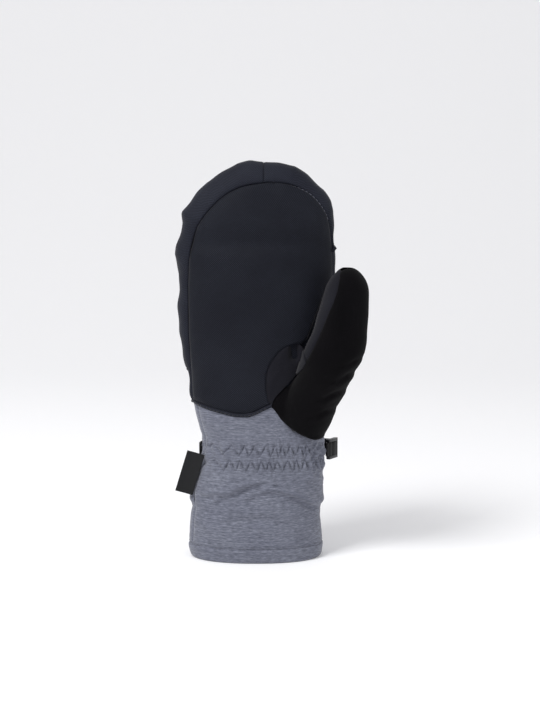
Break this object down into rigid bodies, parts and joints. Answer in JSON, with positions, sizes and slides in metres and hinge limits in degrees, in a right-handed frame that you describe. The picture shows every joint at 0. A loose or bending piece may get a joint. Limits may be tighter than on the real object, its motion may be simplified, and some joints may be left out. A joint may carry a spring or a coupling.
{
  "type": "ski mitten",
  "caption": "Padded right-hand ski mitten with grey knitted cuff, gathered wrist, dark palm and black thumb, strap lock at the wrist and bare side label.",
  "frame": {"origin": "centre of the cuff's mouth, in the plane of its rim", "axes": "+Z from the rim to the fingertips, -Y out of the palm, +X to the thumb's side"},
  "size_m": [0.1392, 0.0848, 0.2887],
  "materials": {
    "heather": "mid grey heather softshell knit, matt",
    "fleece": "charcoal brushed tricot fleece, matt",
    "elastic": "woven flat elastic, matt",
    "satin": "black woven satin, soft sheen",
    "stretch_twill": "blue-black stretch softshell, matt",
    "binding": "blue-black bound tape, matt",
    "suede_grey": "charcoal synthetic suede, matt",
    "suede_black": "black synthetic suede, matt",
    "membrane": "thin white laminated membrane, matt",
    "fibre_pad": "polyester fibre fleece pad, matt",
    "webbing": "black narrow webbing, matt",
    "acetal": "black moulded acetal, matt"
  },
  "bodies": {
    "cuff": {"cuff_hem": "heather", "cuff_front": "heather", "cuff_back": "heather", "lining_cuff": "fleece", "lining_wrist": "fleece"},
    "label": {"flag_label": "satin"},
    "hand": {"wrist_elastic": "elastic", "palm_panel": "stretch_twill", "palm_binding": "binding", "back_panel": "heather", "gusset_outer": "stretch_twill", "gusset_inner": "stretch_twill", "thumb_gusset": "suede_grey", "thumb_strip": "suede_grey", "thumb_panel": "suede_black", "membrane_hand": "membrane", "insulation_hand": "fibre_pad", "lining_hand": "fleece", "wrist_strap": "webbing", "strap_loop": "webbing"},
    "fingers": {"membrane_fingers": "membrane", "insulation_fingers": "fibre_pad", "lining_fingers": "fleece"},
    "thumb": {"membrane_thumb": "membrane", "insulation_thumb": "fibre_pad", "lining_thumb": "fleece"},
    "lock": {"ladder_lock": "acetal"},
    "tail": {"strap_tail": "webbing", "strap_tip": "webbing"}
  },
  "joints": [
    {"name": "wrist_flex", "type": "hinge", "parent": "cuff", "child": "hand", "pos_m": [0, 0, 0.08], "axis": [1, 0, 0], "range_deg": [-35, 35], "stiffness_Nm_per_rad": 1, "deforming": ["cuff_front", "cuff_back", "lining_wrist", "wrist_elastic", "wrist_strap"]},
    {"name": "finger_flex", "type": "hinge", "parent": "hand", "child": "fingers", "pos_m": [0, -0.02, 0.185], "axis": [1, 0, 0], "range_deg": [-5, 30], "stiffness_Nm_per_rad": 0.8, "deforming": ["palm_panel", "back_panel", "gusset_outer", "gusset_inner"]},
    {"name": "thumb_flex", "type": "hinge", "parent": "hand", "child": "thumb", "pos_m": [0.05, -0.024, 0.15], "axis": [0.866, -0.5, 0], "range_deg": [-6, 35], "stiffness_Nm_per_rad": 0.3, "deforming": ["thumb_panel", "thumb_strip"]},
    {"name": "lock_tilt", "type": "hinge", "parent": "hand", "child": "lock", "pos_m": [0.05274, 0.002, 0.078], "axis": [0, 0, -1], "range_deg": [0, 35], "deforming": ["wrist_strap"]},
    {"name": "tail_lift", "type": "hinge", "parent": "lock", "child": "tail", "pos_m": [0.05705, 0.01326, 0.078], "axis": [0, 0, -1], "range_deg": [0, 70]},
    {"name": "label_flip", "type": "hinge", "parent": "cuff", "child": "label", "pos_m": [-0.0435, -0.013, 0.0615], "axis": [0.2756, 0, 0.9613], "range_deg": [-50, 100], "stiffness_Nm_per_rad": 0.0005}
  ]
}
